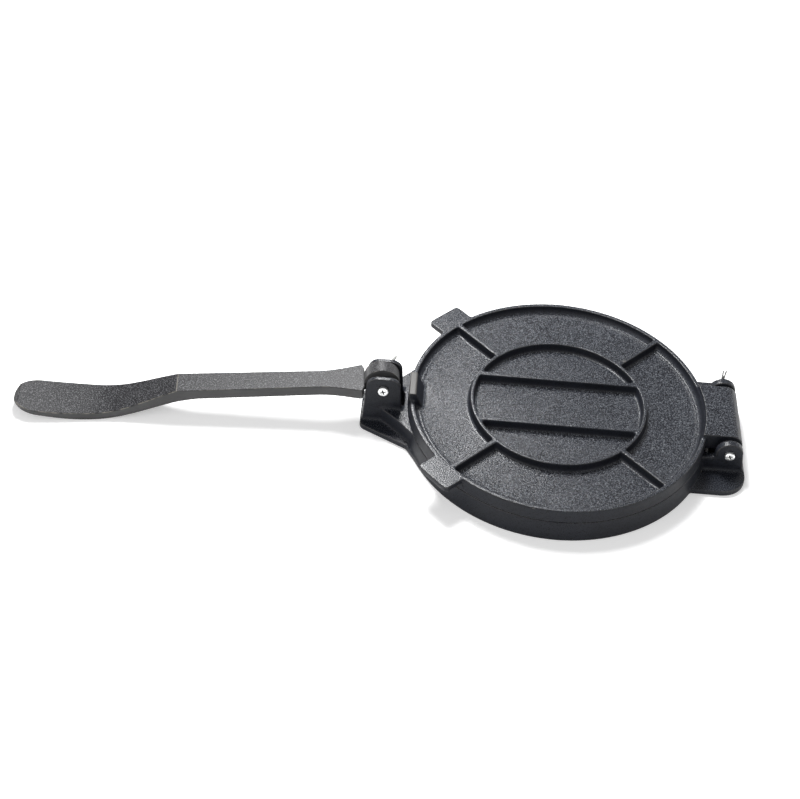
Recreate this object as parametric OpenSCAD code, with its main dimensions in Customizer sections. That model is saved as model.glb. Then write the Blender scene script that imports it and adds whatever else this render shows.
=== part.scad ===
// Cast iron tortilla press. A ribbed round top plate is hinged to a heavy round base, and a
// long lever at the opposite side swings over the closed plates and bears on a pad.
// Origin: centre of the base on the table. +X is the hinge side, -X the lever side, +Z up.

/* [Base plate] */
// Radius of the base at its upper edge
base_r = 106; // [98:0.5:116]
// Height of the base
base_h = 15.2; // [13.5:0.1:20]
// How much wider the base is at its foot than at its upper edge
base_draft = 2.2; // [1:0.1:4]
// Thickness of the pressing skin over the hollow underside
skin_t = 5; // [4:0.1:7]
// Thickness of the base's outer wall at its upper edge
wall_t = 5; // [4:0.1:8]
// Radius of the solid boss in the middle of the underside
boss_r = 12; // [8:0.5:20]
// Width of the ribs on the underside
under_rib_w = 4; // [3:0.1:6]
// Middle radius of the ring rib on the underside
under_ring_r = 56; // [45:0.5:65]
// Number of radial ribs on the underside
under_ribs = 8; // [6:1:12]

/* [Top plate] */
// Running gap between the two pressing faces when closed
plate_gap = 0.3; // [0.2:0.05:0.6]
// Height of the top plate from its pressing face to its rim
plate_h = 9.8; // [8:0.1:13]
// How much narrower the rim is at its top than at the pressing face
plate_draft = 1; // [0.4:0.1:2]
// Thickness of the plate's floor
floor_t = 3.6; // [3:0.1:5]
// Width of the rim at its top
rim_w = 3.1; // [2.5:0.1:5]
// Radius of the hollow corner between the rim and the floor
floor_fillet = 5; // [2:0.1:5.4]
// Radius of the worn edges of the rim and the ribs
edge_round = 0.3; // [0.2:0.05:0.8]
// Inner radius of the ring rib
ring_r = 59.7; // [50:0.1:68]
// Width of the ring rib
ring_w = 2.5; // [2.1:0.1:4]
// Width of the two parallel ribs inside the ring
twin_rib_w = 4.1; // [3:0.1:6]
// Distance between the middles of the two parallel ribs
twin_rib_pitch = 45.7; // [30:0.1:60]
// Width of the four radial ribs
spoke_w = 3.5; // [2.5:0.1:5]
// How far the tops of the radial ribs stay below the rim
spoke_drop = 0.1; // [0.05:0.05:1]
// Angle of the radial ribs from the hinge axis line
spoke_angle = 45; // [38:0.5:52]
// How much each side of a rib leans out at its foot
rib_draft = 0.6; // [0.2:0.1:1.2]

/* [Lift tabs] */
// Direction of each lift tab, from the hinge side
tab_angle = 135.6; // [128:0.1:142]
// Width of a tab
tab_w = 28; // [20:0.5:34]
// How far a tab reaches beyond the rim
tab_out = 14.2; // [9:0.1:20]
// Thickness of a tab
tab_t = 4; // [3:0.1:6]
// Radius of a tab's outer corners
tab_corner = 3; // [1:0.1:6]

/* [Pressure pad] */
// Width of the pad across the lever
pad_w = 23; // [16:0.5:30]
// Length of the pad towards the middle
pad_l = 5; // [4:0.1:8]
// Height of the pad's top above the rim
pad_rise = 6.2; // [4:0.1:9]
// Distance of the pad's outer face inside the base's upper edge
pad_in = 0.8; // [0.6:0.1:1.2]
// How much further the pad's inner face leans out at its foot
pad_foot = 5.2; // [0.5:0.1:8]

/* [Hinge] */
// Distance of the hinge pin outside the base's upper edge
hinge_out = 12.6; // [12:0.1:16]
// Height of the hinge pin above the top plate's pressing face
hinge_up = 3.5; // [2.5:0.1:5]
// Radius of the tongue's rolled end
barrel_r = 9.6; // [8:0.1:10]
// Width of the hinge tongue
tongue_w = 50.8; // [40:0.1:56]
// Angle before its top at which the rolled end meets the tongue's upper side
tongue_meet = 10; // [4:1:20]
// Gap between the tongue and each hinge ear
tongue_gap = 3.2; // [0.5:0.1:4]
// Thickness of each hinge ear
hinge_ear_t = 5.4; // [4:0.1:8]
// Radius of the hinge ears round the pin
hinge_ear_r = 9.4; // [7.5:0.1:10]
// How much further the hinge ears' backs lean out at the foot
hinge_ear_lean = 3; // [1:0.1:5]
// Half width of the foot flange at the hinge
hinge_flange_half = 55.2; // [48:0.2:60]
// How far that flange reaches beyond the ears' feet
hinge_flange_out = 0.6; // [0.2:0.1:4]
// Corner radius of that flange
hinge_flange_corner = 17; // [8:0.5:22]

/* [Lever fork] */
// Distance of the lever pin outside the base's upper edge
fork_out = 17.2; // [16:0.1:20]
// Height of the lever pin above the pad's top
fork_pin_up = 0.6; // [0.5:0.1:2]
// Half length of the fork along the base at the pin's height
fork_half = 12.1; // [11:0.1:13]
// How much the fork's ends lean out per millimetre downwards
fork_lean = 0.065; // [0.02:0.005:0.1]
// Height of the fork's top above the lever pin
fork_top = 10; // [8:0.1:12]
// Radius of the fork's top corners
fork_corner = 8; // [5:0.1:9]
// Width over both fork ears
fork_w = 22; // [20:0.1:25]
// Width of the slot between the fork ears
fork_slot = 15; // [13.5:0.1:15.5]
// How far the slot runs past the fork's upper end, towards the base
slot_past = 3; // [1:0.1:4]
// How much each fork side leans out at its foot
fork_side_lean = 1.3; // [0.5:0.1:2.5]
// Where the neck's flared side leaves the fork, from the lever pin towards the base
neck_from = 0; // [-1:0.5:2]
// Half width of the neck where it runs into the base
neck_half = 42; // [34:0.5:46]
// How deep the neck's side curves in from a straight line
neck_sag = 1.3; // [0.5:0.1:3]

/* [Foot flanges] */
// Thickness of both foot flanges
flange_t = 4.2; // [3:0.1:6]
// How far the lever flange reaches beyond the fork's foot
fork_flange_out = 1.2; // [0.5:0.1:4]
// Half width of the lever flange between its corner centres
fork_flange_half = 13.8; // [10:0.1:16]
// Corner radius of the lever flange
fork_flange_corner = 6; // [3:0.1:8]
// Angle at which the lever flange widens towards the base
fork_flange_angle = 27.7; // [20:0.1:30]
// Half width of the lever flange where it runs into the base's foot
fork_flange_end = 52; // [48:0.5:56]
// How deep that flange's side curves in before it meets the foot
fork_flange_sag = 0.3; // [0.2:0.1:0.8]
// How far the lever flange's straight sides run in past the foot's edge
fork_flange_in = 3.5; // [2:0.5:4]

/* [Lever] */
// Angle of the lever's bar across the press, seen from above
lever_sweep = 4.75; // [0:0.25:5.5]
// Radius of the lever's hub
hub_r = 12.4; // [11:0.1:12.6]
// How far the hub's round runs into the shoulder
hub_into = 0.2; // [0.1:0.1:1]
// Width of the lever's hub
hub_w = 10.4; // [8:0.1:11]
// Offset of the hub from the middle of the slot
hub_shift = 1; // [0:0.1:1]
// Width of the web between the hub and the shoulder
web_w = 8; // [6:0.1:10]
// Distance of the shoulder from the lever pin
shoulder_u = 14; // [13.6:0.1:14.4]
// Height of the shoulder's upper edge above the lever pin
shoulder_up = 0.9; // [0.5:0.05:1]
// Width of the shoulder
shoulder_w = 27; // [24:0.5:32]
// Length of the cut at each corner of the shoulder
shoulder_cut_l = 1.7; // [1:0.1:3]
// Width of that cut across the lever
shoulder_cut_w = 4.5; // [2:0.1:6]
// Slope of the flare's side at the shoulder
flare_slope = -0.22; // [-0.4:0.02:-0.1]
// Distance from the lever pin at which the flare has narrowed to the bar
bar_from = 47; // [40:0.5:60]
// Narrowest width of the bar
bar_w = 16.6; // [14:0.1:20]
// Width of the bar at the crease
crease_w = 18.4; // [15:0.1:22]
// Thickness of the bar
bar_t = 8.2; // [7:0.1:10]
// Length of the paddle, from the crease where the lever bends down to the tip
paddle_l = 115.5; // [105:0.5:125]
// Height of the crease above the table
crease_h = 24; // [20:0.5:28]
// Slope of the lever's upper side just past the crease
crease_slope = -0.35; // [-0.45:0.01:-0.2]
// Slope of the paddle's side just past the crease, seen from above
paddle_slope = 0.09; // [0:0.01:0.2]
// Distance before the crease at which the underside starts to curve
under_before = 15; // [10:0.5:25]
// Slope of the underside where it starts to curve
under_slope = -0.15; // [-0.2:0.01:-0.06]
// Distance of the paddle's lowest line from the tip
rest_back = 55.5; // [48:0.5:62]
// Thickness of the paddle at its lowest line
paddle_t = 6; // [5:0.1:8]
// Distance of the paddle's widest line from the tip
paddle_back = 24.5; // [23:0.5:32]
// Widest width of the paddle
paddle_w = 32; // [26:0.5:38]
// Length of the paddle's rounded end
paddle_end = 18; // [14:0.5:22]
// Distance of the paddle's tip from the lever pin
lever_l = 260.5; // [255:0.5:275]
// Height of the tip's upper edge above the table
tip_h = 10.5; // [8.5:0.1:14]
// Slope of the paddle at its tip
tip_slope = 0.15; // [0.05:0.01:0.25]
// Thickness of the paddle at its tip
tip_t = 3.4; // [2.5:0.1:5]

/* [Pins] */
// Radius of both pins
pin_r = 2.5; // [2.2:0.1:3]
// Running clearance round a pin in its bores
pin_clear = 0.05; // [0.02:0.01:0.1]
// Radius of the hinge pin's head
hinge_head_r = 3.5; // [3.4:0.1:5]
// Radius of the lever pin's head
lever_head_r = 3.75; // [3.4:0.05:5]
// Thickness of a pin's head
head_t = 2.3; // [1.5:0.1:3]
// Bevel round a pin's head
head_bevel = 0.7; // [0.3:0.1:1.2]
// Length of each pin beyond its far ear
pin_past = 6; // [5:0.1:8]
// Gap between a pin's head and its ear
head_gap = 0.05; // [0.02:0.01:0.2]

/* [Split pins] */
// Radius of each leg of a split pin
wire_r = 0.6; // [0.4:0.05:0.7]
// Distance of a split pin from the end of its pin
cotter_in = 3; // [2:0.1:3.4]
// Clearance round both legs in the cross hole
cotter_clear = 0.1; // [0.05:0.05:0.2]
// Radius of the eye, to the middle of its wire
eye_r = 1.7; // [1.3:0.1:2.2]
// Distance between the middles of the pressed legs, as a share of their thickness
leg_close = 0.85; // [0.7:0.05:0.95]
// Angle to which each leg is bent open
leg_open = 3; // [1:1:20]
// Reach of the hinge split pin's legs from the pin's axis
hinge_cotter_reach = 14.3; // [8:0.1:15]
// Reach of the lever split pin's legs from the pin's axis
lever_cotter_reach = 12.4; // [8:0.1:14]
// Tilt of the lever split pin towards the base
lever_cotter_tilt = 36; // [0:1:40]

/* [Hidden] */

round_fn = 96;
small_fn = 32;
past = 1;           // how far a cutting shape runs past what it cuts
edge_steps = 4;     // steps on a worn edge
fine = 8;           // steps on a short curve
long = 16;          // steps on a long curve
ear_steps = 24;     // steps round a hinge ear
curve_pull = 0.38;  // how long a smooth curve keeps its end slopes, as a share of its length

iron = [0.14, 0.14, 0.15];
lever_iron = [0.22, 0.22, 0.23];
zinc = [0.72, 0.73, 0.75];

parting_z = base_h + plate_gap;
rim_z = parting_z + plate_h;
floor_z = parting_z + floor_t;
rim_r = base_r - plate_draft;
recess_r = rim_r - rim_w;
base_foot_r = base_r + base_draft;
seam_r = base_r - wall_t / 2;      // cast-on brackets start inside the wall

ring_mid_r = ring_r + ring_w / 2;
twin_rib_end = sqrt(pow(ring_mid_r, 2) - pow(twin_rib_pitch / 2, 2));

floor_round = min(floor_fillet, rim_z - floor_z - 2 * edge_round);
pad_z = rim_z + pad_rise;
pad_x = base_r - pad_in;

hinge_x = base_r + hinge_out;
hinge_z = parting_z + hinge_up;
tongue_half = tongue_w / 2;
ear_in = tongue_half + tongue_gap;
ear_out = ear_in + hinge_ear_t;
hinge_foot_x = hinge_x + hinge_ear_r + hinge_ear_lean;

fork_x = base_r + fork_out;
fork_z = pad_z + fork_pin_up;
fork_foot_x = fork_x + fork_half + fork_lean * fork_z;
fork_flange_x = fork_foot_x + fork_flange_out;
slot_end_x = fork_x - fork_half - slot_past;

hub_u = shoulder_u + hub_into - hub_r;
crease_u = lever_l - paddle_l;
thick_u = crease_u - under_before;
rest_u = lever_l - rest_back;
paddle_u = lever_l - paddle_back;

bore_r = pin_r + pin_clear;
cross_r = 2 * wire_r + cotter_clear;

// Points on an arc round c, from angle a0 to angle a1
function arc(c, r, a0, a1, n = fine) =
    [for (i = [0 : n]) let (a = a0 + (a1 - a0) * i / n) c + r * [cos(a), sin(a)]];

// Points on a smooth curve from p0 to p1 with a slope at each end, without its first point
function bend(p0, slope0, p1, slope1, n = long) =
    let (pull = curve_pull * (p1[0] - p0[0]), q0 = p0 + pull * [1, slope0], q1 = p1 - pull * [1, slope1])
    [for (i = [1 : n]) let (t = i / n, s = 1 - t)
        s * s * s * p0 + 3 * s * s * t * q0 + 3 * s * t * t * q1 + t * t * t * p1];

// Points on the arc from p0 to p1 whose middle lies sag to the left of the straight line
function sagged(p0, p1, sag, n = long) =
    let (d = p1 - p0, len = norm(d), left = [-d[1], d[0]] / len,
         r = (len * len / 4 + sag * sag) / (2 * sag),
         c = (p0 + p1) / 2 + left * (sag - r),
         half = asin(len / 2 / r), mid = atan2(left[1], left[0]))
    arc(c, r, mid + half, mid - half, n);

// The same points on the other side of the press, in reverse order
function mirrored(pts) = [for (i = [len(pts) - 1 : -1 : 0]) [pts[i][0], -pts[i][1]]];

// An outline in X and Z, drawn out w wide across the press
module across(w) {
    rotate([90, 0, 0]) linear_extrude(w, center = true) children();
}

// A rod along +Y from y0 to y1
module rod(r, y0, y1, fn = round_fn) {
    translate([0, y0, 0]) rotate([-90, 0, 0]) cylinder(h = y1 - y0, r = r, $fn = fn);
}

// Section of a rib of width w that stands on the floor, as points [across, up]
function rib_section(w) =
    let (half = w / 2, h = rim_z - floor_z, e = edge_round)
    [[-half - rib_draft, -past], [half + rib_draft, -past], [half + rib_draft, 0],
     [half, h - e], [half - e, h], [e - half, h], [-half, h - e], [-half - rib_draft, 0]];

// A straight rib along +X from x0 to x1, standing on the floor
module rib(w, x0, x1) {
    translate([x0, 0, floor_z]) rotate([90, 0, 90])
        linear_extrude(x1 - x0) polygon(rib_section(w));
}

// ---- base plate -------------------------------------------------------------------------

// The hollow underside, less its boss, ring and radial ribs
module underside() {
    depth = base_h - skin_t;
    difference() {
        translate([0, 0, -past]) cylinder(h = depth + past, r = base_r - wall_t, $fn = round_fn);
        cylinder(h = depth, r = boss_r, $fn = round_fn);
        difference() {
            cylinder(h = depth, r = under_ring_r + under_rib_w / 2, $fn = round_fn);
            cylinder(h = depth, r = under_ring_r - under_rib_w / 2, $fn = round_fn);
        }
        for (i = [0 : under_ribs - 1]) rotate([0, 0, 360 * i / under_ribs])
            translate([0, -under_rib_w / 2, 0]) cube([base_r, under_rib_w, depth]);
    }
}

// The hinge flange in plan: straight sides and round outer corners
function hinge_flange_outline() =
    let (x = hinge_foot_x + hinge_flange_out, y = hinge_flange_half, r = hinge_flange_corner,
         near = concat([[0, -y]], arc([x - r, r - y], r, -90, 0)))
    concat(near, mirrored(near));

// Side view of a hinge ear with the low wall that ties it to the base
function hinge_ear_side() =
    concat([[0, 0], [hinge_foot_x, 0]], arc([hinge_x, hinge_z], hinge_ear_r, 0, 180, ear_steps),
           [[hinge_x - hinge_ear_r, base_h], [0, base_h]]);

module hinge_bracket() {
    difference() {
        union() {
            linear_extrude(flange_t) polygon(hinge_flange_outline());
            for (side = [-1, 1]) translate([0, side * (ear_in + ear_out) / 2, 0])
                across(hinge_ear_t) polygon(hinge_ear_side());
        }
        translate([0, 0, -past]) cylinder(h = rim_z + past, r = seam_r, $fn = round_fn);
    }
}

// The lever flange in plan: a blunt front with round corners, straight sides that widen
// towards the base, and a hollow curve into its foot
function fork_flange_outline() =
    let (r = fork_flange_corner, turn = 90 - fork_flange_angle,
         c = [fork_flange_corner - fork_flange_x, -fork_flange_half],
         corner = arc(c, r, 180, 180 + turn),
         run = fork_flange_in - base_foot_r - corner[fine][0],
         side = corner[fine] + run * [1, -tan(fork_flange_angle)],
         y = fork_flange_end,
         foot = [-sqrt(base_foot_r * base_foot_r - y * y), -y],
         near = concat(corner, sagged(side, foot, fork_flange_sag, fine), [[0, -y]]))
    concat(near, mirrored(near));

// The neck in plan: from the fork's width it curves out until it runs into the base's wall
function neck_outline() =
    let (start = [neck_from - fork_x, -fork_w / 2 - fork_side_lean],
         end = [-sqrt(seam_r * seam_r - neck_half * neck_half), -neck_half],
         near = concat(sagged(start, end, neck_sag), [[0, -neck_half]]))
    concat(near, mirrored(near));

// Side view of the fork
function fork_side() =
    let (up = fork_z + fork_top - fork_corner, foot = fork_lean * fork_z,
         left = -fork_x - fork_half, right = -fork_x + fork_half)
    concat([[left - foot, flange_t / 2], [right + foot, flange_t / 2]],
           arc([right - fork_corner, up], fork_corner, 0, 90),
           arc([left + fork_corner, up], fork_corner, 90, 180));

// Both fork sides, end on, with their sides leaning out towards the foot
module fork_section() {
    half = fork_w / 2;
    foot = half + fork_side_lean;
    top = fork_z + fork_top + past;
    polygon([[-foot, 0], [foot, 0], [half, base_h], [half, top], [-half, top], [-half, base_h]]);
}

module lever_bracket() {
    difference() {
        union() {
            linear_extrude(flange_t) polygon(fork_flange_outline());
            translate([0, 0, flange_t / 2]) linear_extrude(base_h - flange_t / 2)
                polygon(neck_outline());
            intersection() {
                across(2 * fork_w) polygon(fork_side());
                translate([-fork_foot_x - past, 0, 0]) rotate([90, 0, 90])
                    linear_extrude(fork_foot_x) fork_section();
            }
        }
        translate([0, 0, -past]) cylinder(h = rim_z + past, r = seam_r, $fn = round_fn);
        translate([-fork_foot_x - past, -fork_slot / 2, flange_t])
            cube([fork_foot_x - slot_end_x + past, fork_slot, fork_z + fork_top]);
    }
}

module base_plate() {
    color(iron) difference() {
        union() {
            difference() {
                cylinder(h = base_h, r1 = base_foot_r, r2 = base_r, $fn = round_fn);
                underside();
            }
            hinge_bracket();
            lever_bracket();
        }
        translate([hinge_x, 0, hinge_z]) rod(bore_r, -ear_out - past, ear_out + past);
        translate([-fork_x, 0, fork_z]) rod(bore_r, -fork_w, fork_w);
    }
}

// ---- top plate --------------------------------------------------------------------------

// Section of the plate's floor and rim, as points [radius, height]
function plate_section() =
    let (e = edge_round)
    concat([[0, parting_z], [base_r, parting_z]],
           arc([rim_r - e, rim_z - e], e, 0, 90, edge_steps),
           arc([recess_r + e, rim_z - e], e, 90, 180, edge_steps),
           arc([recess_r - floor_round, floor_z + floor_round], floor_round, 0, -90),
           [[0, floor_z]]);

module lift_tab() {
    reach = rim_r + tab_out;
    corner_y = tab_w / 2 - tab_corner;
    translate([0, 0, rim_z - tab_t]) linear_extrude(tab_t) {
        translate([0, -tab_w / 2]) square([reach - tab_corner, tab_w]);
        translate([0, -corner_y]) square([reach, 2 * corner_y]);
        for (side = [-1, 1]) translate([reach - tab_corner, side * corner_y])
            circle(tab_corner, $fn = small_fn);
    }
}

// Side view of the tongue, which lies level from the recess to its rolled end
function tongue_side() =
    concat([[0, parting_z], [hinge_x, parting_z]],
           [for (a = [0, tongue_meet]) [hinge_x, hinge_z] + barrel_r * [-sin(a), cos(a)]],
           [[0, hinge_z + barrel_r * cos(tongue_meet)]]);

module pressure_pad() {
    e = edge_round;
    x0 = -pad_x;
    x1 = pad_l - pad_x;
    across(pad_w) polygon(concat([[x0, floor_z], [x1 + pad_foot, floor_z]],
        arc([x1 - e, pad_z - e], e, 0, 90, edge_steps),
        arc([x0 + e, pad_z - e], e, 90, 180, edge_steps)));
}

module top_plate() {
    color(iron) difference() {
        union() {
            rotate_extrude($fn = round_fn) polygon(plate_section());
            translate([0, 0, floor_z]) rotate_extrude($fn = round_fn)
                translate([ring_mid_r, 0]) polygon(rib_section(ring_w));
            for (side = [-1, 1]) translate([0, side * twin_rib_pitch / 2, 0])
                rib(twin_rib_w, -twin_rib_end, twin_rib_end);
            for (turn = [spoke_angle, 180 - spoke_angle, 180 + spoke_angle, -spoke_angle])
                rotate([0, 0, turn]) translate([0, 0, -spoke_drop])
                    rib(spoke_w, ring_mid_r, recess_r + past);
            difference() {
                union() {
                    for (side = [-1, 1]) rotate([0, 0, side * tab_angle]) lift_tab();
                    across(tongue_w) polygon(tongue_side());
                }
                cylinder(h = rim_z + pad_rise, r = recess_r + past, $fn = round_fn);
            }
            pressure_pad();
            translate([hinge_x, 0, hinge_z]) rod(barrel_r, -tongue_half, tongue_half);
        }
        translate([hinge_x, 0, hinge_z]) rod(bore_r, -tongue_half - past, tongue_half + past);
    }
}

// ---- lever ------------------------------------------------------------------------------

// Side view of the arm, as points [distance from the pin, height above the table]
function arm_side() =
    let (up = fork_z + shoulder_up,
         slope = (crease_h - up) / (crease_u - shoulder_u),
         thick = [thick_u, crease_h - slope * (crease_u - thick_u) - bar_t],
         crease = [crease_u, crease_h],
         rest = [rest_u, 0],
         rest_top = [rest_u, paddle_t],
         tip = [lever_l, tip_h])
    concat([[0, up - bar_t], [shoulder_u, up - bar_t], thick],
           bend(thick, under_slope, rest, 0),
           bend(rest, 0, tip - [0, tip_t], tip_slope),
           bend(tip, tip_slope, rest_top, 0),
           bend(rest_top, 0, crease, crease_slope),
           [[shoulder_u, up], [0, up]]);

// Half of the arm in plan, as points [distance from the pin, half width]
function arm_half() =
    let (shoulder = [shoulder_u, shoulder_w / 2],
         wide = shoulder + [shoulder_cut_l, 0],
         narrow = [bar_from, bar_w / 2],
         crease = [crease_u, crease_w / 2],
         broad = [paddle_u, paddle_w / 2],
         end = [lever_l - paddle_end, 0])
    concat([[0, web_w / 2], [shoulder_u, web_w / 2], shoulder - [0, shoulder_cut_w], wide],
           bend(wide, flare_slope, narrow, 0),
           [crease],
           bend(crease, paddle_slope, broad, 0),
           [for (i = [0 : long - 1]) let (a = 90 - 90 * i / long)
               end + [paddle_end * cos(a), paddle_w / 2 * sin(a)]]);

module lever() {
    color(lever_iron) translate([-fork_x, hub_shift, 0]) difference() {
        union() {
            rotate([0, 0, 180 + lever_sweep]) {
                translate([hub_u, 0, fork_z]) rod(hub_r, -hub_w / 2, hub_w / 2);
                intersection() {
                    across(2 * paddle_w) polygon(arm_side());
                    linear_extrude(2 * fork_z)
                        polygon(concat(arm_half(), [[lever_l, 0]], mirrored(arm_half())));
                }
            }
        }
        translate([0, 0, fork_z]) rod(bore_r, -hub_w, hub_w);
    }
}

// ---- pins -------------------------------------------------------------------------------

// A headed pin along Y between ear faces at -half and half, with a cross hole at its far end
module headed_pin(half, head_r, tilt) {
    head_y = -half - head_gap;
    difference() {
        union() {
            rod(pin_r, head_y, half + pin_past);
            rod(head_r, head_y - head_t + head_bevel, head_y);
            translate([0, head_y - head_t, 0]) rotate([-90, 0, 0])
                cylinder(h = head_bevel, r1 = head_r - head_bevel, r2 = head_r, $fn = round_fn);
        }
        translate([0, half + pin_past - cotter_in, 0]) rotate([0, tilt, 0])
            translate([0, 0, -2 * pin_r]) cylinder(h = 4 * pin_r, r = cross_r, $fn = small_fn);
    }
}

// A split pin through the origin along +Z, with its eye below and its legs bent open above
module split_pin(reach) {
    bend_z = pin_r + 2 * wire_r;
    eye_z = -pin_r - 2 * wire_r - eye_r;
    leg_x = leg_close * wire_r;
    translate([0, 0, eye_z]) rotate([90, 0, 0])
        rotate_extrude($fn = small_fn) translate([eye_r, 0]) circle(wire_r, $fn = small_fn);
    for (side = [-1, 1]) translate([side * leg_x, 0, 0]) {
        translate([0, 0, eye_z + eye_r])
            cylinder(h = bend_z - eye_z - eye_r, r = wire_r, $fn = small_fn);
        translate([0, 0, bend_z]) rotate([0, side * leg_open, 0]) translate([0, 0, -wire_r])
            cylinder(h = wire_r + (reach - bend_z) / cos(leg_open), r = wire_r, $fn = small_fn);
    }
}

module hinge_pin() {
    color(zinc) translate([hinge_x, 0, hinge_z]) headed_pin(ear_out, hinge_head_r, 0);
}

module lever_pin() {
    color(zinc) translate([-fork_x, 0, fork_z])
        headed_pin(fork_w / 2, lever_head_r, lever_cotter_tilt);
}

module hinge_cotter() {
    color(zinc) translate([hinge_x, ear_out + pin_past - cotter_in, hinge_z])
        split_pin(hinge_cotter_reach);
}

module lever_cotter() {
    color(zinc) translate([-fork_x, fork_w / 2 + pin_past - cotter_in, fork_z])
        rotate([0, lever_cotter_tilt, 0]) rotate([0, 0, 90]) split_pin(lever_cotter_reach);
}

base_plate();
top_plate();
lever();
hinge_pin();
lever_pin();
hinge_cotter();
lever_cotter();
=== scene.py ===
import math

import bmesh
import bpy
from mathutils import Matrix, Vector


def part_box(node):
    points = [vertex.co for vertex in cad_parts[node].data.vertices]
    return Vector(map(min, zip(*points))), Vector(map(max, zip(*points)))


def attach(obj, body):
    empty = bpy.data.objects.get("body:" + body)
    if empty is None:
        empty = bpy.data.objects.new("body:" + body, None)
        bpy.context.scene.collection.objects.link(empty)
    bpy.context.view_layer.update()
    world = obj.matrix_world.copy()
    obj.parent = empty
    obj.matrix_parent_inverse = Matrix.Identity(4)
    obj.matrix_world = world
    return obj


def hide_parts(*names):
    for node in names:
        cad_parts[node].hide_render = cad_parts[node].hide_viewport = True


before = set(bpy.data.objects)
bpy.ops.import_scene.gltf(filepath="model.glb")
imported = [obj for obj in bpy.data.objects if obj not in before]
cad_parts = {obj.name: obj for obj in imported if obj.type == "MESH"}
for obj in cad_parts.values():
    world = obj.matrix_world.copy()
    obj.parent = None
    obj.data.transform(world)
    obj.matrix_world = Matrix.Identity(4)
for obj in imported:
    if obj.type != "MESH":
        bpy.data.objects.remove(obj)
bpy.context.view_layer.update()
scene = bpy.context.scene
mm = 0.001


# ---- Camera ----
# The press is looked down on from its front, with the lever lying to the left and the hinge to
# the right. A long lens from a little over a metre keeps the round plates nearly true ellipses.
view_turn = math.radians(0.9304)
view_height = math.radians(43.8136)
view_roll = math.radians(3.9767)
view_distance = 1154.2 * mm
view_target = Vector((-111.6 * mm, 14.8 * mm, 0))
lens_length = 72.0
sensor_width = 36.0

towards_camera = Vector((
    math.sin(view_turn) * math.cos(view_height),
    -math.cos(view_turn) * math.cos(view_height),
    math.sin(view_height),
))
camera_data = bpy.data.cameras.new("camera")
camera_data.lens = lens_length
camera_data.sensor_width = sensor_width
camera = bpy.data.objects.new("camera", camera_data)
scene.collection.objects.link(camera)
upright = towards_camera.to_track_quat("Z", "Y").to_matrix().to_4x4()
camera.matrix_world = (
    Matrix.Translation(view_target + towards_camera * view_distance)
    @ upright
    @ Matrix.Rotation(view_roll, 4, "Z")
)
scene.camera = camera


# ---- Table and light ----
# A white table in a pale room, which ends in plain white well away from the press. One softbox
# stands behind the press, opposite the camera and a little to the left, and a broad weak one
# fills the walls from the front left.
table_size = 12.0
table_white = (0.82, 0.82, 0.82, 1)
# How white the table shows near the press, and how far out it starts and ends growing whiter.
table_lift = 0.36
bright_from = 0.5
bright_to = 1.3
room_light = 0.5
softboxes = (
    # name, place, aim, width and height in metres, watts
    ("tall_softbox", (-0.205, 0.44, 0.75), (-0.12, -0.04, 0.02), (0.24, 0.38), 15.5),
    ("left_softbox", (-1.1, -1.1, 0.9), (-0.1, 0, 0), (1.6, 1.0), 9.0),
)


def seen_plainly(nodes, links):
    """1 for the rays that show a surface to the eye, in a mirror or through glass."""
    path = nodes.new("ShaderNodeLightPath")
    seen = path.outputs["Is Camera Ray"]
    for kind in ("Is Glossy Ray", "Is Transmission Ray"):
        either = nodes.new("ShaderNodeMath")
        either.operation = "MAXIMUM"
        links.new(seen, either.inputs[0])
        links.new(path.outputs[kind], either.inputs[1])
        seen = either.outputs[0]
    return seen


mesh = bpy.data.meshes.new("table")
half = table_size / 2
corners = [(-half, -half, 0), (half, -half, 0), (half, half, 0), (-half, half, 0)]
mesh.from_pydata(corners, [], [(0, 1, 2, 3)])
table = bpy.data.objects.new("table", mesh)
scene.collection.objects.link(table)

paper = bpy.data.materials.new("white_table")
paper.use_nodes = True
nodes, links = paper.node_tree.nodes, paper.node_tree.links
nodes.clear()
output = nodes.new("ShaderNodeOutputMaterial")
matte = nodes.new("ShaderNodeBsdfDiffuse")
matte.inputs["Color"].default_value = table_white
lift = nodes.new("ShaderNodeEmission")
far_out = nodes.new("ShaderNodeVectorMath")
far_out.operation = "LENGTH"
paler = nodes.new("ShaderNodeMapRange")
paler.inputs["From Min"].default_value = bright_from
paler.inputs["From Max"].default_value = bright_to
paler.inputs["To Min"].default_value = table_lift
amount = nodes.new("ShaderNodeMath")
amount.operation = "MULTIPLY"
total = nodes.new("ShaderNodeAddShader")
links.new(nodes.new("ShaderNodeTexCoord").outputs["Object"], far_out.inputs[0])
links.new(far_out.outputs["Value"], paler.inputs["Value"])
links.new(seen_plainly(nodes, links), amount.inputs[0])
links.new(paler.outputs[0], amount.inputs[1])
links.new(amount.outputs[0], lift.inputs["Strength"])
links.new(matte.outputs[0], total.inputs[0])
links.new(lift.outputs[0], total.inputs[1])
links.new(total.outputs[0], output.inputs["Surface"])
mesh.materials.append(paper)

world = bpy.data.worlds.new("room")
world.use_nodes = True
scene.world = world
nodes, links = world.node_tree.nodes, world.node_tree.links
nodes.clear()
output = nodes.new("ShaderNodeOutputWorld")
soft = nodes.new("ShaderNodeBackground")
soft.inputs["Strength"].default_value = room_light
pale = nodes.new("ShaderNodeBackground")
choice = nodes.new("ShaderNodeMixShader")
links.new(seen_plainly(nodes, links), choice.inputs["Fac"])
links.new(soft.outputs[0], choice.inputs[1])
links.new(pale.outputs[0], choice.inputs[2])
links.new(choice.outputs[0], output.inputs["Surface"])

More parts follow.
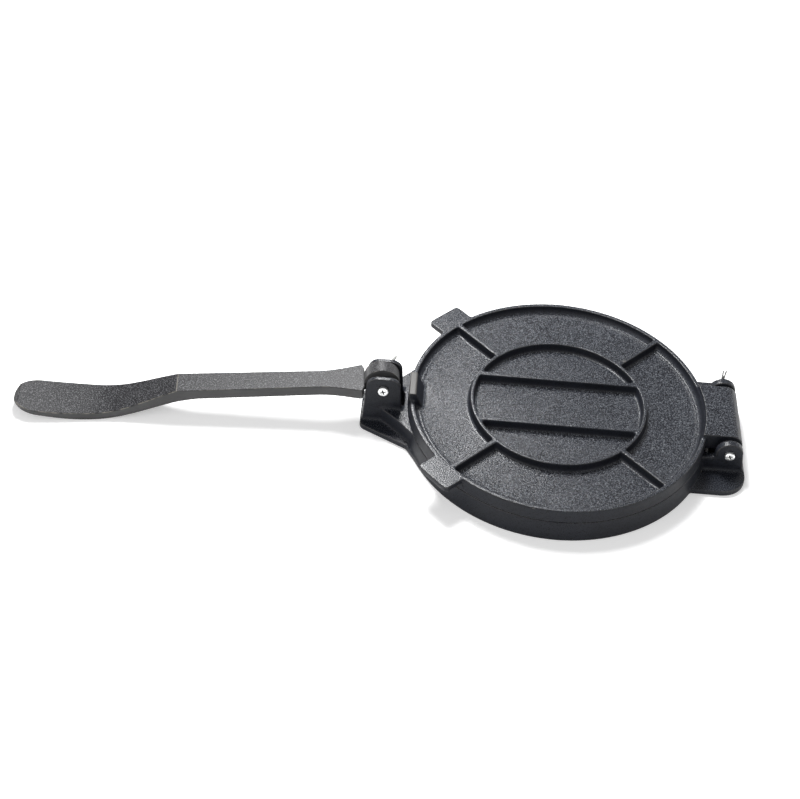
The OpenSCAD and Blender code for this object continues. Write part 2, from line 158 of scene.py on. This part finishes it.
for name, place, aim, size, watts in softboxes:
    lamp_data = bpy.data.lights.new(name, "AREA")
    lamp_data.shape = "RECTANGLE"
    lamp_data.size, lamp_data.size_y = size
    lamp_data.energy = watts
    lamp = bpy.data.objects.new(name, lamp_data)
    lamp.location = place
    lamp.rotation_euler = (Vector(place) - Vector(aim)).to_track_quat("Z", "Y").to_euler()
    scene.collection.objects.link(lamp)
scene.view_settings.view_transform = "Standard"


# ---- Base plate ----
# The lower casting: a heavy round plate, hollow and ribbed beneath, with the hinge ears and the
# lever fork cast on. Grey iron from a sand mould, fettled and seasoned black.
base_voxel = 0.42 * mm
base_fillet = 1.6 * mm
weld_gap = 0.002 * mm
ease_share = 0.5
casting_faces = 190000

# What the mould's sand leaves: grains with pebbles among them, and slow clouds of seasoning.
sand_size = 0.7 * mm
sand_relief = 0.17 * mm
wall_relief = 0.35
pebble_size = 1.1 * mm
pebble_share = 0.25
cloud_size = 28 * mm
# Stretches of a noise that runs from 0 to 1: nearly all of it, its middle, the tops of the
# grains and the gaps between them. The worn edge is a stretch of how proud the surface stands.
noise_span = (0.3, 0.7)
noise_middle = (0.35, 0.65)
grain_tops = (0.52, 0.66)
grain_gaps = (0.34, 0.47)
gap_shade_share = 0.9
proud_edge = (0.515, 0.56)
edge_share = 0.7
# The walls are duller than the level faces, and the clouds add a little to both.
wall_rough = 0.45
level_rough = 0.2
cloud_rough = 0.04
iron_gloss = 0.2
iron_dark = (0.009, 0.0105, 0.015, 1)
iron_light = (0.014, 0.016, 0.022, 1)
# Painted shade: this near black is laid in the low gaps between the sand grains.
gap_shade_black = (0.001, 0.001, 0.002, 1)
edge_worn = (0.10, 0.095, 0.09, 1)
# Painted glints: the speckle colours lighten the grain tops of faces that look up, standing in
# for the light's sparkle on them.
base_glint_speckle = (0.045, 0.049, 0.057, 1)


def settle(piece):
    """Turns what the modifiers make into the piece's own mesh."""
    bpy.context.view_layer.update()
    shown = piece.evaluated_get(bpy.context.evaluated_depsgraph_get())
    made = bpy.data.meshes.new_from_object(shown)
    piece.modifiers.clear()
    piece.data = made
    made.name = piece.name


def casting(node, name, voxel, fillet, faces):
    """A sand casting over a CAD node: it is swelled and shrunk again by the fillet's radius,
    which fills its inner corners and takes the sharpness off its outer edges."""
    grid = bmesh.new()
    grid.from_mesh(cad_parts[node].data)
    bmesh.ops.remove_doubles(grid, verts=grid.verts, dist=weld_gap)
    skin = bpy.data.meshes.new(name)
    grid.to_mesh(skin)
    grid.free()
    piece = bpy.data.objects.new(name, skin)
    scene.collection.objects.link(piece)
    for swell in (fillet, -fillet, 0):
        melt = piece.modifiers.new("melt", "REMESH")
        melt.mode = "VOXEL"
        melt.voxel_size = voxel
        ease = piece.modifiers.new("ease", "SMOOTH")
        ease.factor = ease_share
        ease.iterations = 1
        if swell:
            grow = piece.modifiers.new("grow", "DISPLACE")
            grow.mid_level = 0
            grow.strength = swell
    settle(piece)
    triangles = sum(len(face.vertices) - 2 for face in piece.data.polygons)
    if triangles > faces:
        fewer = piece.modifiers.new("fewer", "DECIMATE")
        fewer.ratio = faces / triangles
        settle(piece)
    piece.data.shade_smooth()
    return piece


class Shading:
    """Short ways to write the node trees of the finishes."""

    def __init__(self, name):
        self.material = bpy.data.materials.new(name)
        self.material.use_nodes = True
        self.tree = self.material.node_tree
        self.tree.nodes.clear()
        self.place = self.add("TexCoord").outputs["Object"]

    def add(self, kind, **settings):
        """A new node of a kind, with its settings."""
        node = self.tree.nodes.new("ShaderNode" + kind)
        for key, value in settings.items():
            setattr(node, key, value)
        return node

    def feed(self, socket, value):
        """Links the socket to another one, or writes a plain value on it."""
        if isinstance(value, bpy.types.NodeSocket):
            self.tree.links.new(value, socket)
        else:
            socket.default_value = value

    def grain(self, size, detail=2.0, rough=0.5):
        """Soft noise whose blobs are about size across."""
        node = self.add("TexNoise")
        self.feed(node.inputs["Vector"], self.place)
        node.inputs["Scale"].default_value = 1 / size
        node.inputs["Detail"].default_value = detail
        node.inputs["Roughness"].default_value = rough
        return node.outputs["Fac"]

    def pebbles(self, size, soft=0.6):
        """Rounded grains about size across."""
        node = self.add("TexVoronoi", feature="SMOOTH_F1")
        self.feed(node.inputs["Vector"], self.place)
        node.inputs["Scale"].default_value = 1 / size
        node.inputs["Smoothness"].default_value = soft
        return node.outputs["Distance"]

    def span(self, value, low, high, to_low=0.0, to_high=1.0):
        """value from low..high to to_low..to_high, held at both ends."""
        node = self.add("MapRange", clamp=True)
        self.feed(node.inputs["Value"], value)
        node.inputs["From Min"].default_value = low
        node.inputs["From Max"].default_value = high
        node.inputs["To Min"].default_value = to_low
        node.inputs["To Max"].default_value = to_high
        return node.outputs["Result"]

    def reckon(self, operation, a, b):
        """One step of arithmetic."""
        node = self.add("Math", operation=operation)
        self.feed(node.inputs[0], a)
        self.feed(node.inputs[1], b)
        return node.outputs[0]

    def times(self, a, b):
        return self.reckon("MULTIPLY", a, b)

    def blend(self, amount, a, b):
        """Colour a where amount is 0 and colour b where it is 1."""
        node = self.add("Mix", data_type="RGBA")
        self.feed(node.inputs["Factor"], amount)
        self.feed(node.inputs["A"], a)
        self.feed(node.inputs["B"], b)
        return node.outputs["Result"]

    def upness(self, wall=0.55, level=0.9):
        """1 on faces that look up when the press is shut, 0 on its walls."""
        node = self.add("SeparateXYZ")
        self.feed(node.inputs[0], self.add("TexCoord").outputs["Normal"])
        return self.span(node.outputs["Z"], wall, level)

    def along(self, start, direction):
        """Distance from start, measured along direction."""
        offset = self.add("VectorMath", operation="SUBTRACT")
        self.feed(offset.inputs[0], self.place)
        offset.inputs[1].default_value = start
        node = self.add("VectorMath", operation="DOT_PRODUCT")
        self.feed(node.inputs[0], offset.outputs[0])
        node.inputs[1].default_value = direction
        return node.outputs["Value"]

    def wear(self, low, high):
        """1 on edges that stand proud."""
        return self.span(self.add("NewGeometry").outputs["Pointiness"], low, high)

    def finish(self, colour, roughness, height, depth, strength=1.0, **sockets):
        """The finished material: a shader whose surface height raises, by up to depth."""
        shader = self.add("BsdfPrincipled")
        self.feed(shader.inputs["Base Color"], colour)
        self.feed(shader.inputs["Roughness"], roughness)
        for key, value in sockets.items():
            self.feed(shader.inputs[key.replace("_", " ")], value)
        bump = self.add("Bump")
        bump.inputs["Strength"].default_value = strength
        bump.inputs["Distance"].default_value = depth
        self.feed(bump.inputs["Height"], height)
        self.feed(shader.inputs["Normal"], bump.outputs[0])
        output = self.add("OutputMaterial")
        self.feed(output.inputs["Surface"], shader.outputs[0])
        return self.material


def seasoned_iron(name, glint_speckle):
    """Black seasoned sand casting: grainy where it looks up, smoother on its walls."""
    s = Shading(name)
    sand = s.grain(sand_size, 1)
    cloud = s.grain(cloud_size, 3)
    up = s.upness()
    colour = s.blend(s.span(cloud, *noise_span), iron_dark, iron_light)
    # Painted glints: a lighter speckle on the grain tops of the faces that look up.
    colour = s.blend(s.times(s.span(sand, *grain_tops), up), colour, glint_speckle)
    # Painted shade: near black in the low gaps between the grains.
    colour = s.blend(s.span(sand, *grain_gaps, gap_shade_share, 0), colour, gap_shade_black)
    colour = s.blend(s.times(s.wear(*proud_edge), edge_share), colour, edge_worn)
    dull = s.span(cloud, *noise_middle, 0, cloud_rough)
    rough = s.reckon("ADD", dull, s.span(up, 0, 1, wall_rough, level_rough))
    height = s.reckon("SUBTRACT", sand, s.times(s.pebbles(pebble_size), pebble_share))
    relief = s.times(height, s.span(up, 0, 1, wall_relief, 1.0))
    return s.finish(colour, rough, relief, sand_relief, Specular_IOR_Level=iron_gloss)


base = casting("base_plate", "base_casting", base_voxel, base_fillet, casting_faces)
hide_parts("base_plate")
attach(base, "base")
base.data.materials.clear()
base.data.materials.append(seasoned_iron("seasoned_base", base_glint_speckle))


# ---- Top plate ----
# The upper casting: a thin plate with a rim, a ring and straight ribs on its back, two tabs to
# lift it by, the pad that the lever bears on, and the tongue that turns on the hinge pin.
top_voxel = 0.4 * mm
top_fillet = 1.2 * mm
# Painted glints on the up-facing grain tops, lighter on the top plate than on the base.
top_glint_speckle = (0.095, 0.102, 0.114, 1)
# The recess rises a little towards its rim.
plate_floor = 19.1 * mm
floor_band = 0.3 * mm
dish_start = 89.0 * mm
dish_end = 97.5 * mm
dish_rise = 0.4 * mm
# Where the lever bears on the pad, and the bare metal that it has rubbed there.
pad_end = (-105.6 * mm, -99.9 * mm)
pad_half = 12 * mm
pad_low = 30.9 * mm
pad_up = 0.5
scratch_size = 0.7 * mm
scratch_depth = 0.08 * mm
rubbed_dark = (0.035, 0.034, 0.031, 1)
rubbed_light = (0.065, 0.062, 0.058, 1)
rubbed_rough = 0.45
rubbed_gloss = 0.3

top = casting("top_plate", "top_casting", top_voxel, top_fillet, casting_faces)
for vertex in top.data.vertices:
    x, y, z = vertex.co
    over_floor = abs(z - plate_floor) < floor_band
    rise = (math.hypot(x, y) - dish_start) / (dish_end - dish_start)
    if over_floor and rise > 0:
        vertex.co.z += dish_rise * min(rise, 1) ** 2
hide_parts("top_plate")
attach(top, "upper")
top.data.materials.clear()
top.data.materials.append(seasoned_iron("seasoned_top", top_glint_speckle))

s = Shading("rubbed_iron")
scratch = s.grain(scratch_size, 2)
colour = s.blend(s.span(scratch, *noise_span), rubbed_dark, rubbed_light)
rubbed_iron = s.finish(
    colour, rubbed_rough, scratch, scratch_depth, Specular_IOR_Level=rubbed_gloss
)
top.data.materials.append(rubbed_iron)
for face in top.data.polygons:
    x, y, z = face.center
    on_pad = pad_end[0] < x < pad_end[1] and abs(y) < pad_half and z > pad_low
    if on_pad and face.normal.z > pad_up:
        face.material_index = 1


# ---- Lever ----
# The long handle: one iron casting with a hub, a flared shoulder, a flat bar and a paddle grip.
# It is only oiled, so it stays greyer than the plates, with bare metal along its worn edges.
lever_voxel = 0.28 * mm
lever_fillet = 0.25 * mm
# The crease between bar and grip: its place, its turn from square, and its half width.
crease_place = Vector((-267.7 * mm, -11.0 * mm, 0))
crease_turn = math.radians(4.75)
crease_half = (0.1 * mm, 0.5 * mm)
grip_start = -2 * mm

lever_grain = 0.75 * mm
lever_relief = 0.14 * mm
lever_wall_relief = 0.25
lever_cloud = 22 * mm
lever_tops = (0.52, 0.68)
lever_gaps = (0.32, 0.45)
lever_gap_shade_share = 0.7
lever_edge = (0.51, 0.55)
lever_rough = 0.42
lever_gloss = 0.17
bare_size = 6 * mm
bare_span = (0.45, 0.6)
oiled_dark = (0.055, 0.055, 0.056, 1)
oiled_light = (0.072, 0.072, 0.073, 1)
# Painted shade: this near black darkens the lever's faces that look up, more on the grip than
# on the bar, standing in for how the light falls.
up_face_shade_black = (0.006, 0.006, 0.008, 1)
# Painted glints: this grey lightens the grain tops of the lever's faces that look up.
grain_glint_grey = (0.10, 0.101, 0.106, 1)
# Painted shade: this dark colour is laid in the grain gaps of the lever's faces that look up.
gap_shade_dark = (0.01, 0.01, 0.01, 1)
edge_grime = (0.014, 0.013, 0.012, 1)
bare_metal = (0.42, 0.39, 0.33, 1)
# Shares: painted shade on the up-facing faces and bare metal on the bar and on the grip, bare
# crease, and grimy edges.
up_face_shade_share = (0.7, 1.0)
bare_share = (0.25, 0.6)
crease_share = 0.25
grime_share = 0.8

lever = casting("lever", "lever_casting", lever_voxel, lever_fillet, casting_faces)
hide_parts("lever")
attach(lever, "handle")

s = Shading("oiled_iron")
sand = s.grain(lever_grain, 1)
cloud = s.grain(lever_cloud, 3)
patch = s.span(s.grain(bare_size, 2), *bare_span)
up = s.upness()
edge = s.wear(*lever_edge)
along = s.along(crease_place, Vector((math.cos(crease_turn), math.sin(crease_turn), 0)))
crease = s.span(s.reckon("ABSOLUTE", along, 0), *crease_half, 1, 0)
grip = s.span(along, grip_start, 0, 1, 0)
worn = s.times(edge, s.times(patch, s.span(grip, 0, 1, *bare_share)))
worn = s.reckon("MAXIMUM", worn, s.times(s.times(crease, up), crease_share))
colour = s.blend(s.span(cloud, *noise_span), oiled_dark, oiled_light)
# Painted shade: the up-facing faces go towards near black, more on the grip than on the bar.
colour = s.blend(s.times(up, s.span(grip, 0, 1, *up_face_shade_share)), colour, up_face_shade_black)
# Painted glints: lighter grey on the grain tops of the up-facing faces.
colour = s.blend(s.times(s.span(sand, *lever_tops), up), colour, grain_glint_grey)
# Painted shade: dark in the low gaps between the grains of the up-facing faces.
gap = s.span(sand, *lever_gaps, lever_gap_shade_share, 0)
colour = s.blend(s.times(gap, up), colour, gap_shade_dark)
colour = s.blend(s.times(edge, grime_share), colour, edge_grime)
colour = s.blend(worn, colour, bare_metal)
relief = s.times(sand, s.span(up, 0, 1, lever_wall_relief, 1.0))
grey_iron = s.finish(colour, lever_rough, relief, lever_relief, Specular_IOR_Level=lever_gloss)
lever.data.materials.clear()
lever.data.materials.append(grey_iron)


# ---- Pins ----
# Two turned steel pins carry the hinge and the lever. Each has a low domed head with a cross
# punched in it, and is bright zinc plate.
pin_radius = 2.5 * mm
pin_chamfer = 0.5 * mm
pin_rings = 26
pin_sides = 72
head_height = 2.3 * mm
head_edge = 0.6 * mm
# How far the dome falls and where its rounded edge starts, as shares of head_edge.
dome_fall = 0.5
edge_start = 0.4
edge_steps = 6
sharp_turn = math.radians(40)
cross_reach = 2.1 * mm
cross_half = 0.62 * mm
cross_depth = 0.8 * mm
cross_wall = 0.35 * cross_depth
cross_turn = 0.35

zinc_grain = 0.5 * mm
zinc_relief = 0.05 * mm
zinc_strength = 0.6
zinc_bloom = 1.6 * mm
bloom_span = (0.40, 0.60)
zinc_bright = (0.93, 0.94, 0.94, 1)
zinc_dull = (0.62, 0.63, 0.62, 1)
zinc_rough = 0.3
zinc_metal = 0.85
cross_grain = 0.4 * mm
# Painted shade: the cross's dark colours deepen the shade in its recess.
cross_shade_dark = (0.03, 0.03, 0.028, 1)
cross_shade_light = (0.10, 0.10, 0.092, 1)
cross_rough = 0.6


def turned_pin(name, node):
    """A headed pin along +Y, with a cross sunk in its domed head and a chamfered end."""
    low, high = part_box(node)
    axis_x, axis_z = (low[0] + high[0]) / 2, (low[2] + high[2]) / 2
    head_radius = (high[0] - low[0]) / 2
    length = high[1] - low[1]
    profile = []
    for ring in range(1, pin_rings + 1):
        r = (head_radius - head_edge) * ring / pin_rings
        profile.append((r, head_edge * dome_fall * (r / head_radius) ** 2))
    for step in range(1, edge_steps + 1):
        bend = math.radians(90 * step / edge_steps)
        out = head_radius - head_edge * (1 - math.sin(bend))
        profile.append((out, head_edge * (1 + edge_start - math.cos(bend))))
    profile += [(head_radius, head_height), (pin_radius, head_height)]
    profile += [(pin_radius, length - pin_chamfer), (pin_radius - pin_chamfer, length)]
    grid = bmesh.new()
    middle = grid.verts.new((axis_x, low[1] + cross_depth, axis_z))
    rings = []
    for r, y in profile:
        ring = []
        for side in range(pin_sides):
            angle = 2 * math.pi * side / pin_sides
            across = min(abs(r * math.sin(angle)), abs(r * math.cos(angle)))
            sunk = max(0, 1 - across / cross_half) if r < cross_reach and y < head_height else 0
            ring.append(grid.verts.new((
                axis_x + r * math.cos(angle + cross_turn),
                low[1] + y + cross_depth * sunk,
                axis_z + r * math.sin(angle + cross_turn),
            )))
        rings.append(ring)
    for side in range(pin_sides):
        after = (side + 1) % pin_sides
        grid.faces.new((middle, rings[0][side], rings[0][after])).material_index = 1
        for inner, outer in zip(rings, rings[1:]):
            face = grid.faces.new((inner[side], outer[side], outer[after], inner[after]))
            sunk = sum(vertex.co.y for vertex in face.verts) / len(face.verts) - low[1]
            reach = math.hypot(outer[side].co.x - axis_x, outer[side].co.z - axis_z)
            # The faces sunk in the cross take the second material, painted dark as shade in the
            # recess.
            if reach < cross_reach and sunk > cross_wall:
                face.material_index = 1
    grid.faces.new(rings[-1])
    bmesh.ops.recalc_face_normals(grid, faces=grid.faces)
    skin = bpy.data.meshes.new(name)
    grid.to_mesh(skin)
    grid.free()
    for face in skin.polygons:
        face.use_smooth = True
    skin.set_sharp_from_angle(angle=sharp_turn)
    piece = bpy.data.objects.new(name, skin)
    scene.collection.objects.link(piece)
    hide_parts(node)
    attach(piece, "base")
    return piece


s = Shading("zinc_plate")
fine = s.grain(zinc_grain, 2)
colour = s.blend(s.span(s.grain(zinc_bloom, 2), *bloom_span), zinc_bright, zinc_dull)
zinc = s.finish(colour, zinc_rough, fine, zinc_relief, zinc_strength, Metallic=zinc_metal)

# Painted shade: the faces inside the punched cross are coloured dark to deepen its recess.
s = Shading("punched_cross_shade")
fine = s.grain(cross_grain, 2)
colour = s.blend(s.span(fine, *noise_middle), cross_shade_dark, cross_shade_light)
cross_shade_finish = s.finish(colour, cross_rough, fine, zinc_relief, zinc_strength)

for name, node in (("hinge_pin_zinc", "hinge_pin"), ("lever_pin_zinc", "lever_pin")):
    pin = turned_pin(name, node)
    pin.data.materials.append(zinc)
    pin.data.materials.append(cross_shade_finish)


# ---- Split pins ----
# Each pin is kept in by a split pin: one length of soft round wire, bent double round its eye,
# pushed through the pin and opened at its ends.
wire_voxel = 0.11 * mm
wire_fillet = 0.1 * mm
wire_faces = 20000
wire_grain = 0.4 * mm
wire_relief = 0.03 * mm
wire_strength = 0.4
wire_dull = (0.42, 0.43, 0.42, 1)
wire_bright = (0.62, 0.62, 0.60, 1)
wire_rough = 0.4
wire_metal = 0.3

s = Shading("zinc_wire")
fine = s.grain(wire_grain, 2)
colour = s.blend(s.span(fine, *noise_span), wire_dull, wire_bright)
drawn_wire = s.finish(colour, wire_rough, fine, wire_relief, wire_strength, Metallic=wire_metal)

for name, node in (("hinge_split_pin", "hinge_cotter"), ("lever_split_pin", "lever_cotter")):
    wire = casting(node, name, wire_voxel, wire_fillet, wire_faces)
    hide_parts(node)
    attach(wire, "base")
    wire.data.materials.clear()
    wire.data.materials.append(drawn_wire)
